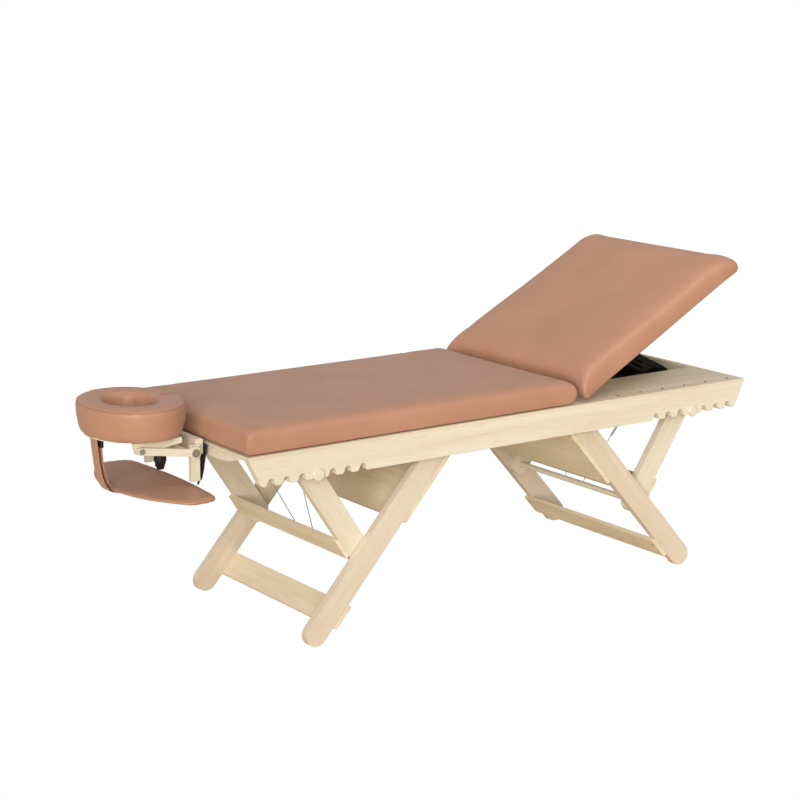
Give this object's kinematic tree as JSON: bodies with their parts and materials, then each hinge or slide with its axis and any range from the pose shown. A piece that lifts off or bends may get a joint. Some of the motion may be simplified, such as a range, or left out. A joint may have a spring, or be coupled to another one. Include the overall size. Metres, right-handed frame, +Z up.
{
  "type": "massage bed",
  "caption": "Wooden massage bed with notched height-adjustable leg sets, a rack-propped backrest and a face cradle with a hanging armrest.",
  "frame": {"origin": "on the floor, below the middle of the bounding box", "axes": "+X from the face cradle towards the backrest, +Y across the bed to the far side, +Z up"},
  "size_m": [2.167, 0.728, 0.9928],
  "materials": {
    "beech": "clear satin varnish on pale beech or birch",
    "plywood": "thin birch plywood, lightly varnished",
    "upholstery": "mocha leatherette over foam, fine grain, low sheen",
    "black_steel": "black powder coat",
    "bright_steel": "zinc plated steel",
    "black_plastic": "black moulded plastic",
    "black_webbing": "black woven webbing"
  },
  "bodies": {
    "frame": {"rail_near": "beech", "rail_far": "beech", "deck": "plywood", "head_end_beam": "beech", "foot_end_beam": "beech", "hinge_beam": "beech", "rack_battens": "beech", "rack_near": "black_steel", "rack_far": "black_steel", "deck_screws": "bright_steel", "leg_pivot_bolts": "bright_steel", "main_cushion": "upholstery", "hinge_deck_leaves": "bright_steel", "spring_eyes": "bright_steel", "cradle_base_bar": "beech", "cradle_base_rods": "beech", "cradle_posts": "beech", "cradle_pivot_bolts": "black_steel", "armrest_rear_straps": "black_webbing"},
    "head_legs": {"head_leg_near": "beech", "head_leg_far": "beech", "head_gusset": "plywood", "head_lower_stretcher": "plywood", "head_brace_rod": "beech", "head_leg_screws": "bright_steel", "head_springs": "bright_steel"},
    "foot_legs": {"foot_leg_near": "beech", "foot_leg_far": "beech", "foot_gusset": "plywood", "foot_lower_stretcher": "plywood", "foot_brace_rod": "beech", "foot_leg_screws": "bright_steel", "foot_springs": "bright_steel"},
    "head_brace": {"head_brace_near": "beech", "head_brace_far": "beech", "head_upper_stretcher": "plywood", "head_dowel": "beech"},
    "foot_brace": {"foot_brace_near": "beech", "foot_brace_far": "beech", "foot_upper_stretcher": "plywood", "foot_dowel": "beech"},
    "backrest": {"backrest_board": "plywood", "backrest_cushion": "upholstery", "hinge_board_leaves": "bright_steel", "hinge_pins": "bright_steel", "prop_brackets": "black_steel"},
    "prop": {"prop_arm_near": "black_steel", "prop_arm_far": "black_steel", "prop_rods": "black_steel"},
    "cradle_arms": {"cradle_arm_near": "beech", "cradle_arm_far": "beech", "arm_cross_bar": "beech", "platform_bolts": "black_steel", "armrest_pad": "upholstery", "armrest_front_strap": "upholstery"},
    "cradle_platform": {"platform_plate": "plywood", "platform_rails": "beech", "face_cushion": "upholstery"},
    "cradle_knob": {"clamp_knob": "black_plastic"}
  },
  "joints": [
    {"name": "backrest_tilt", "type": "hinge", "parent": "frame", "child": "backrest", "pos_m": [0.436, 0, 0.59315], "axis": [0, -1, 0], "range_deg": [-29, 16]},
    {"name": "prop_swing", "type": "hinge", "parent": "backrest", "child": "prop", "pos_m": [0.70226, 0, 0.72473], "axis": [0, -1, 0], "range_deg": [-32.5, 58.5]},
    {"name": "head_legs_swing", "type": "hinge", "parent": "frame", "child": "head_legs", "pos_m": [-0.083, 0, 0.543], "axis": [0, -1, 0], "range_deg": [0, 41], "deforming": ["head_springs"]},
    {"name": "foot_legs_swing", "type": "hinge", "parent": "frame", "child": "foot_legs", "pos_m": [0.409, 0, 0.543], "axis": [0, 1, 0], "range_deg": [0, 41], "deforming": ["foot_springs"]},
    {"name": "head_brace_swing", "type": "hinge", "parent": "head_legs", "child": "head_brace", "pos_m": [-0.35556, 0, 0.23325], "axis": [0, -1, 0], "range_deg": [0, 90]},
    {"name": "foot_brace_swing", "type": "hinge", "parent": "foot_legs", "child": "foot_brace", "pos_m": [0.68156, 0, 0.23325], "axis": [0, 1, 0], "range_deg": [0, 90]},
    {"name": "cradle_tilt", "type": "hinge", "parent": "frame", "child": "cradle_arms", "pos_m": [-0.813, 0, 0.572], "axis": [0, -1, 0], "range_deg": [-3, 25], "deforming": ["armrest_rear_straps"]},
    {"name": "platform_tilt", "type": "hinge", "parent": "cradle_arms", "child": "cradle_platform", "pos_m": [-0.98, 0, 0.599], "axis": [0, -1, 0], "range_deg": [-2, 25], "deforming": ["armrest_front_strap"]},
    {"name": "knob_turn", "type": "hinge", "parent": "cradle_arms", "child": "cradle_knob", "pos_m": [-0.843, 0, 0.5225], "axis": [0, 0, 1], "continuous": true}
  ],
  "couplings": [
    {"joint": "prop_swing", "follows": "backrest_tilt", "ratio": -2}
  ]
}
